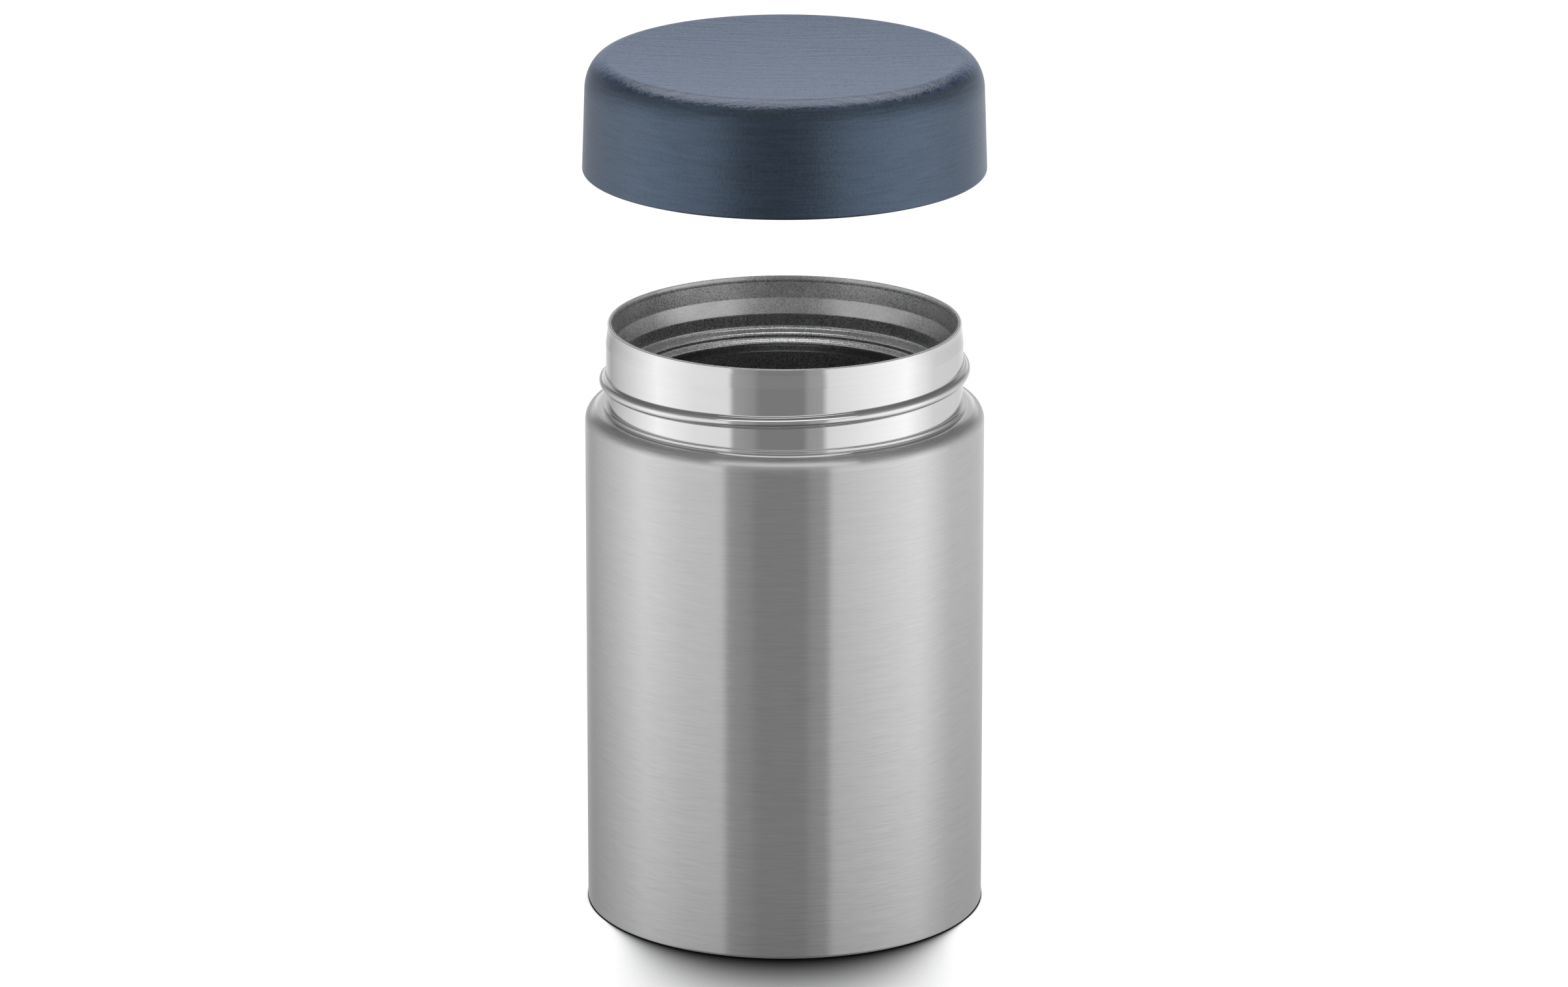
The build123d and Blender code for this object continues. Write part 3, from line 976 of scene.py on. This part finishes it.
# ---------------------------------------------------------------- the screw lid
@dataclass(frozen=True)
class ScrewLid:
    """The lid at rest, held clear above the mouth: cover, liner, foam and seal ring."""

    finishes: Finishes

    lift: float = 51.0
    edge_height: float = 111.0
    edge_radius: float = 42.8
    edge_rounding: float = 0.5
    side_top_radius: float = 42.2
    crown_height: float = 128.4
    crown_inset: float = 4.9
    crown_rise: float = 7.0
    dish_height: float = 134.6
    crown_rows: int = 24
    dish_rows: int = 40
    top_drop: float = 1.5  # the straight brushing of the top, with its painted lighter tone, reaches this far below the crest
    wall: float = 1.4
    inner_top: float = 133.1
    inner_crown_rows: int = 14
    snap_height: float = 114.0
    snap_half: float = 0.6
    snap_proud: float = 0.25
    snap_rounding: float = 0.1
    liner_gap: float = 0.1
    liner_edge: float = 111.6
    liner_edge_rounding: float = 0.2
    liner_bore: float = 39.75
    roof: float = 129.2
    roof_thickness: float = 1.3
    plug_radius: float = 34.8
    plug_wall: float = 1.3
    groove_radius: float = 30.55
    groove_bottom: float = 117.2
    groove_top: float = 120.4
    groove_rounding: float = 0.4
    nose_radius: float = 31.4
    nose_height: float = 114.6
    bend_rounding: float = 0.6
    ridge: Thread = Thread(5.1, 185.0, 300.0, 14.0, 116.33, 330.0, Ridge(1.15, 0.45, 1.35))
    seal_inner_radius: float = 30.65
    seal_outer_radius: float = 35.15
    seal_bottom: float = 117.3
    seal_top: float = 120.3
    seal_rounding: float = 0.9

    def side_radius(self, height: float, inset: float) -> float:
        """Radius of the face where cover and liner meet, moved inwards by inset."""
        slope = (self.edge_radius - self.side_top_radius) / (self.crown_height - self.edge_height)
        return self.edge_radius - self.wall - inset - slope * (height - self.edge_height)

    def meeting_face(self, low: float, high: float, inset: float) -> list[Corner]:
        """Corners up the face where cover and liner meet, with the snap bead.

        Args:
            low: Height where the face starts.
            high: Height where it ends.
            inset: How far it is moved inwards.

        Returns:
            The corners, from the lowest up.
        """
        half = self.snap_half
        places = [(low, 0.0), (self.snap_height - half, 0.0),
                  (self.snap_height - half / 2, self.snap_proud),
                  (self.snap_height + half / 2, self.snap_proud),
                  (self.snap_height + half, 0.0), (high, 0.0)]
        return [Corner(self.side_radius(z, inset) + proud, z, self.snap_rounding)
                for z, proud in places]

    def cover(self) -> None:
        """The cover: drafted side, elliptic crown and shallow dished top."""
        crest = (self.side_top_radius - self.crown_inset, self.crown_height + self.crown_rise)
        inner_crest = crest[0] - self.wall / 2
        inside = self.meeting_face(self.edge_height, self.crown_height, 0.0)
        side = rounded([inside[0], Corner(self.edge_radius, self.edge_height, self.edge_rounding),
                        Corner(self.side_top_radius, self.crown_height)], closed=False)
        crown = elliptic((crest[0], self.crown_height), (self.crown_inset, self.crown_rise),
                         self.crown_rows)
        dish = dished(crest, self.dish_height, self.dish_rows)
        inner_half = (inside[-1].radius - inner_crest, self.inner_top - self.crown_height)
        inner_crown = elliptic((inner_crest, self.crown_height), inner_half,
                               self.inner_crown_rows)[::-1]
        inner_side = rounded(inside, closed=False)[::-1]
        roof = np.array([[0.0, self.inner_top]])
        section = np.concatenate([
            side[:-1], crown[:-1], dish, roof, inner_crown[:-1], inner_side[:-1],
        ])
        start = len(side) + len(crown) + len(dish) - 3
        section = np.roll(section, -start - 1, axis=0)
        piece = turned("lid_cover_finish", section, lift=self.lift)
        dress(piece, "lid_cover", Body.LID, "lid_plastic", self.finishes.lacquer_round,
              self.finishes.lacquer_straight_painted_lighter)
        # faces above this take the top's lacquer, with its painted lighter tone
        zone(piece, self.lift + self.crown_height + self.crown_rise - self.top_drop)

    def liner(self) -> None:
        """The inner moulding: threaded skirt, roof and hollow plug."""
        r, z = self.plug_radius, self.roof + self.roof_thickness
        outside = self.meeting_face(self.liner_edge, z, self.liner_gap)
        corners = [
            Corner(0, self.nose_height, 0),
            Corner(self.nose_radius, self.nose_height, self.seal_rounding),
            Corner(self.nose_radius, self.groove_bottom, self.groove_rounding),
            Corner(self.groove_radius, self.groove_bottom),
            Corner(self.groove_radius, self.groove_top),
            Corner(r, self.groove_top, self.groove_rounding),
            Corner(r, self.roof, self.bend_rounding),
            Corner(self.liner_bore, self.roof, self.bend_rounding),
            Corner(self.liner_bore, self.liner_edge, self.liner_edge_rounding),
            *outside[:-1],
            Corner(outside[-1].radius, z, self.roof_thickness),
            Corner(r - self.plug_wall, z),
            Corner(r - self.plug_wall, self.groove_top + self.plug_wall),
            Corner(self.groove_radius - self.plug_wall, self.groove_top + self.plug_wall),
            Corner(self.groove_radius - self.plug_wall, self.nose_height + self.plug_wall,
                   self.bend_rounding),
            Corner(0, self.nose_height + self.plug_wall, 0),
        ]
        section = rounded(corners, closed=False)
        piece = turned("lid_liner_finish", section, self.ridge, self.liner_bore, self.lift)
        dress(piece, "lid_liner", Body.LID, "liner_plastic", self.finishes.liner)

    def seal_ring(self) -> None:
        """The silicone ring round the plug."""
        corners = [
            Corner(self.seal_inner_radius, self.seal_bottom, self.groove_rounding),
            Corner(self.seal_outer_radius, self.seal_bottom, self.seal_rounding),
            Corner(self.seal_outer_radius, self.seal_top, self.seal_rounding),
            Corner(self.seal_inner_radius, self.seal_top, self.groove_rounding),
        ]
        piece = turned("seal_ring_finish", rounded(corners), lift=self.lift)
        dress(piece, "seal_ring", Body.LID_CORE, "silicone", self.finishes.silicone)

    def build(self) -> None:
        """Builds every visible piece of the lid, and dresses its foam."""
        self.cover()
        self.liner()
        self.seal_ring()
        dress_nodes({"lid_insulation": self.finishes.foam})


# ---------------------------------------------------------------- the studio
@dataclass(frozen=True)
class Lamp:
    """A lit panel far off: its level, and its shares of that by elevation and by azimuth."""

    level: float
    heights: Stops
    sides: Stops


@dataclass(frozen=True)
class Softbox:
    """An oval soft lamp that is flagged off all but some pieces.

    It hangs at a distance from a point of the jar's axis and is turned towards it. elevation is
    in degrees past the front's horizon, so it is over 90 behind the jar.
    """

    name: str
    pieces: tuple[str, ...]  # what it lights; nothing else is lit or casts a shadow
    level: float
    size: tuple[float, float]
    elevation: float
    distance: float
    height: float  # of the point that it is turned towards
    tone: Tone = Tone.WHITE

    def light(self) -> None:
        """Hangs the lamp, once its pieces are there."""
        width, depth = (length * MM for length in self.size)
        data = bpy.data.lights.new(self.name, "AREA")
        data.shape = "ELLIPSE"
        data.size, data.size_y = width, depth
        data.color = linear(self.tone)[:3]
        area = math.pi * width * depth / 4
        data.energy = self.level * math.pi * area
        made = bpy.data.objects.new(self.name, data)
        up = math.radians(self.elevation)
        out = self.distance * MM
        made.location = (0, -out * math.cos(up), self.height * MM + out * math.sin(up))
        made.rotation_euler = (math.pi / 2 - up, 0, 0)
        made.visible_camera = False
        bpy.context.scene.collection.objects.link(made)
        lit = bpy.data.collections.new(self.name)
        for piece in self.pieces:
            lit.objects.link(bpy.data.objects[piece])
        made.light_linking.receiver_collection = lit
        made.light_linking.blocker_collection = lit


@dataclass(frozen=True)
class Studio:
    """A white light tent, a pale floor and a long lens.

    The tent is white cloth lit from both sides, with a gap in front where the lens looks in.
    side_levels gives its brightness by azimuth (degrees to the right of the front), and
    height_shares scales that by elevation, measured from a plane that leans with the tent's
    open top. top_levels is what comes in over it, by elevation. The backcloth is a lit patch of
    cloth behind the jar. One softbox over the lens lights the steel, and two overhead light the
    lid and the mouth.
    """

    side_levels: Stops = (
        (-180, 0.95), (-150, 0.55), (-118, 1.0), (-90, 1.45), (-60, 1.15), (-36, 1.1),
        (-33, 0.5), (-20, 0.4), (-16, 0.3), (12, 0.3), (15, 0.45), (24, 0.5), (28, 1.05),
        (85, 1.55), (112, 1.0), (150, 0.85), (180, 0.95),
    )
    height_shares: Stops = (
        (-90, 0.05), (-55, 0.1), (-40, 1.0), (-5, 1.0), (8, 0.8), (30, 0.2), (50, 0.1),
        (90, 0.05),
    )
    tent_tilt: float = 14.0  # the tent's open top leans back this far
    top_levels: Stops = (
        (-90, 0.0), (-6, 0.0), (10, 0.07), (35, 0.13), (60, 0.18), (90, 0.2),
    )
    backcloth: Lamp = Lamp(
        0.62, ((-90, 0.0), (4, 0.0), (7, 1.0), (13, 1.0), (17, 0.7), (21, 0.58), (29, 0.0),
               (90, 0.0)),
        ((-180, 1.0), (-162, 1.0), (-148, 0.0), (148, 0.0), (162, 1.0), (180, 1.0)),
    )
    backdrop_level: float = 1.0
    floor_radius: float = 4000.0
    floor_corners: int = 96
    floor_ripple: float = 60.0  # width of one patch of its gloss
    floor_roughness: tuple[float, float] = (0.16, 0.2)
    floor_glow: float = 0.72  # the acrylic is lit from below as well
    shadow_length: float = 19.0  # of the shadow's dark part, straight in front
    shadow_narrowing: float = 6.0  # power of the cosine that shortens it to the sides
    shadow_least: float = 0.42  # cosine from which the shadow stays as short as it gets
    shadow_clearing: float = 0.45  # how fast the shadow gives way to light
    shadow_softness: float = 1.5  # over 1, so it starts out flat at the foot
    mirrored: Stops = ((42.0, 0.45), (390.0, 1.0))  # distance from the axis, light let through
    mirrored_glow: float = 0.28  # level of the painted glow that stands for the floor itself in a reflection
    softboxes: tuple[Softbox, ...] = (
        Softbox("jar_softbox", ("outer_shell_finish",), 1.25, (3000.0, 860.0), 51.0, 2000.0, 110.0),
        Softbox("lid_softbox", ("lid_cover_finish",), 1.8, (1600.0, 1450.0), 114.0, 1100.0,
                180.0, Tone.LAMP_WARM),
        Softbox("mouth_softbox", ("inner_vessel_finish", "inner_base_finish"), 4.0,
                (1000.0, 1000.0), 84.0, 1100.0, 110.0),
    )
    focal_pixels: float = 12938.0
    frame_width: float = 2408.0
    sensor: float = 36.0
    distance: float = 1800.0
    elevation: float = 16.756
    aim_height: float = 90.31
    aim_offset: float = 1.0  # pixels that the jar's axis stands right of the middle

    def tent(self) -> None:
        """Lights the scene from all round.

        Brightness is side level x height share + top level, plus the backcloth's level x its
        two shares, each of them a ramp of the direction's azimuth or elevation.
        """
        world = bpy.data.worlds.new("light_tent")
        bpy.context.scene.world = world
        world.use_nodes = True
        world.cycles.sampling_method = "NONE"
        tree = world.node_tree
        tree.nodes.clear()
        place = add(tree, "TexCoord").outputs["Generated"]
        parts = add(tree, "SeparateXYZ", None, {0: place}).outputs
        front = add(tree, "Math", {"operation": "MULTIPLY", 1: -1.0}, {0: parts["Y"]})
        azimuth = add(tree, "Math", {"operation": "ARCTAN2"}, {0: parts["X"], 1: front})
        elevation = add(tree, "Math", {"operation": "ARCSINE"}, {0: parts["Z"]})
        tilt = math.radians(self.tent_tilt)
        leaning = add(tree, "VectorMath", {
            "operation": "DOT_PRODUCT", 1: (0.0, math.sin(tilt), math.cos(tilt))}, {0: place})
        height = add(tree, "Math", {"operation": "ARCSINE"}, {0: leaning.outputs["Value"]})
        side, share, top, cloth_height, cloth_side = (
            ramp(tree, angle, stops, math.radians(1.0)) for angle, stops in (
                (azimuth, self.side_levels), (height, self.height_shares),
                (elevation, self.top_levels), (elevation, self.backcloth.heights),
                (azimuth, self.backcloth.sides)))
        tented = add(tree, "Math", {"operation": "MULTIPLY_ADD"}, {0: side, 1: share, 2: top})
        behind = add(tree, "Math", {"operation": "MULTIPLY"}, {0: cloth_height, 1: cloth_side})
        level = add(tree, "Math", {
            "operation": "MULTIPLY_ADD", 1: self.backcloth.level}, {0: behind, 2: tented})
        light = add(tree, "Background", {"Color": linear(Tone.WHITE)}, {"Strength": level})
        pale = add(tree, "Background", {"Color": linear(Tone.WHITE),
                                                  "Strength": self.backdrop_level})
        seen = add(tree, "LightPath")
        either = add(tree, "MixShader", None, {0: seen.outputs["Is Camera Ray"], 1: light, 2: pale})
        add(tree, "OutputWorld", None, {0: either})

    def shadow(self, tree: NodeTree, spot: NodeSocket, distance: NodeSocket) -> Node:
        """Works out the painted shadow: how bright each place of the floor is painted.

        Brightness is 1 - exp(-clearing x u^softness), where u is the distance from the foot over
        the shadow's length, which shrinks with a power of the cosine of the angle from the front.

        Args:
            tree: The floor's tree.
            spot: The place on the floor.
            distance: Its distance from the axis.

        Returns:
            The node that gives the brightness, 0 at the foot and 1 far off.
        """
        parts = add(tree, "SeparateXYZ", None, {0: spot})
        back = add(tree, "Math", {"operation": "DIVIDE"}, {0: parts.outputs["Y"], 1: distance})
        cosine = add(tree, "MapRange", {
            "From Min": -self.shadow_least, "From Max": -1.0, "To Min": self.shadow_least},
            {"Value": back})
        length = add(tree, "Math", {"operation": "POWER", 1: self.shadow_narrowing}, {0: cosine})
        beyond = add(tree, "Math", {
            "operation": "SUBTRACT", 1: SteelJar.body_radius * MM}, {0: distance})
        dark = add(tree, "Math", {"operation": "DIVIDE"}, {0: beyond, 1: length})
        for operation, amount in (("MULTIPLY", 1 / (self.shadow_length * MM)), ("MAXIMUM", 0.0),
                                  ("POWER", self.shadow_softness),
                                  ("MULTIPLY", -self.shadow_clearing), ("EXPONENT", 0.0)):
            dark = add(tree, "Math", {"operation": operation, 1: amount}, {0: dark})
        return add(tree, "Math", {"operation": "SUBTRACT", 0: 1.0}, {1: dark})

    def floor(self) -> None:
        """A pale disc with a painted soft shadow, shaped as if light came from behind and both
        sides.

        In the steel's reflections it lets the tent through, less so near the jar, where it adds a
        painted glow of its own, a painted reflection of the floor, so stripes lose contrast towards
        the foot.
        """
        material = new_material("white_acrylic_sheet")
        tree = material.node_tree
        top = tree.nodes["Principled BSDF"]
        spot = add(tree, "TexCoord").outputs["Object"]
        distance = add(tree, "VectorMath", {"operation": "LENGTH"}, {0: spot}).outputs["Value"]
        share = self.shadow(tree, spot, distance)
        # painted shadow: the floor's tone runs from the shadow colour at the foot to the floor
        # colour far off
        tone = add(tree, "Mix", {
            "data_type": "RGBA", COLOUR_A: linear(Tone.SHADOW), COLOUR_B: linear(Tone.FLOOR)},
            {0: share})
        # the glow that keeps the floor white is dimmed by the same painted shadow
        glow = add(tree, "Math", {"operation": "MULTIPLY", 1: self.floor_glow}, {0: share})
        rough = add(tree, "MapRange", {
            "To Min": self.floor_roughness[0], "To Max": self.floor_roughness[1]},
            {"Value": grain(tree, (self.floor_ripple,) * 3, 1.0)})
        wire(tree, top, {"Emission Color": linear(Tone.WHITE), "Specular IOR Level": 0.0}, {
            "Base Color": tone.outputs[COLOUR_OUT], "Emission Strength": glow,
            "Roughness": rough})
        # painted reflection: for glossy rays the floor lets the tent through and glows, more so
        # near the jar
        through = ramp(tree, distance, self.mirrored, MM)
        own = add(tree, "Math", {
            "operation": "MULTIPLY_ADD", 1: -self.mirrored_glow, 2: self.mirrored_glow},
            {0: through})
        glass = add(tree, "BsdfTransparent", None, {0: through})
        lit = add(tree, "Emission", {0: linear(Tone.WHITE)}, {1: own})
        both = add(tree, "AddShader", None, {0: glass, 1: lit})
        seen = add(tree, "LightPath")
        either = add(tree, "MixShader", None, {0: seen.outputs["Is Glossy Ray"], 1: top, 2: both})
        wire(tree, tree.nodes["Material Output"], None, {"Surface": either})
        turn = np.arange(self.floor_corners) * (2 * math.pi / self.floor_corners)
        ring = np.stack([np.cos(turn), np.sin(turn), 0 * turn], 1) * self.floor_radius
        made = mesh_object("studio_floor", ring, np.arange(len(ring)), np.array([len(ring)]),
                           np.tile([0.0, 0.0, 1.0], (len(ring), 1)))
        made.data.materials.append(material)

    def camera(self) -> None:
        """Sets up the camera, on the jar's front and looking down on its mouth."""
        data = bpy.data.cameras.new("studio_camera")
        data.sensor_fit = "HORIZONTAL"
        data.sensor_width = self.sensor
        data.lens = self.focal_pixels / self.frame_width * self.sensor
        data.shift_x = -self.aim_offset / self.frame_width
        made = bpy.data.objects.new("studio_camera", data)
        tilt = math.radians(self.elevation)
        back = self.distance * MM
        made.location = (0, -back * math.cos(tilt), self.aim_height * MM + back * math.sin(tilt))
        made.rotation_euler = (math.pi / 2 - tilt, 0, 0)
        bpy.context.scene.collection.objects.link(made)
        bpy.context.scene.camera = made

    def build(self) -> None:
        """Sets up light, floor, camera and plain colour rendering."""
        self.tent()
        self.floor()
        self.camera()
        bpy.context.scene.view_settings.view_transform = "Standard"

    def light_pieces(self) -> None:
        """Hangs the softboxes, once the pieces are there."""
        for softbox in self.softboxes:
            softbox.light()


def main() -> None:
    """Builds the studio, the jar and the lid."""
    logging.basicConfig(level=logging.INFO, format="%(name)s: %(message)s")
    studio = Studio()
    studio.build()
    finishes = Finishes()
    SteelJar(finishes).build()
    ScrewLid(finishes).build()
    studio.light_pieces()


if __name__ == "__main__":
    main()
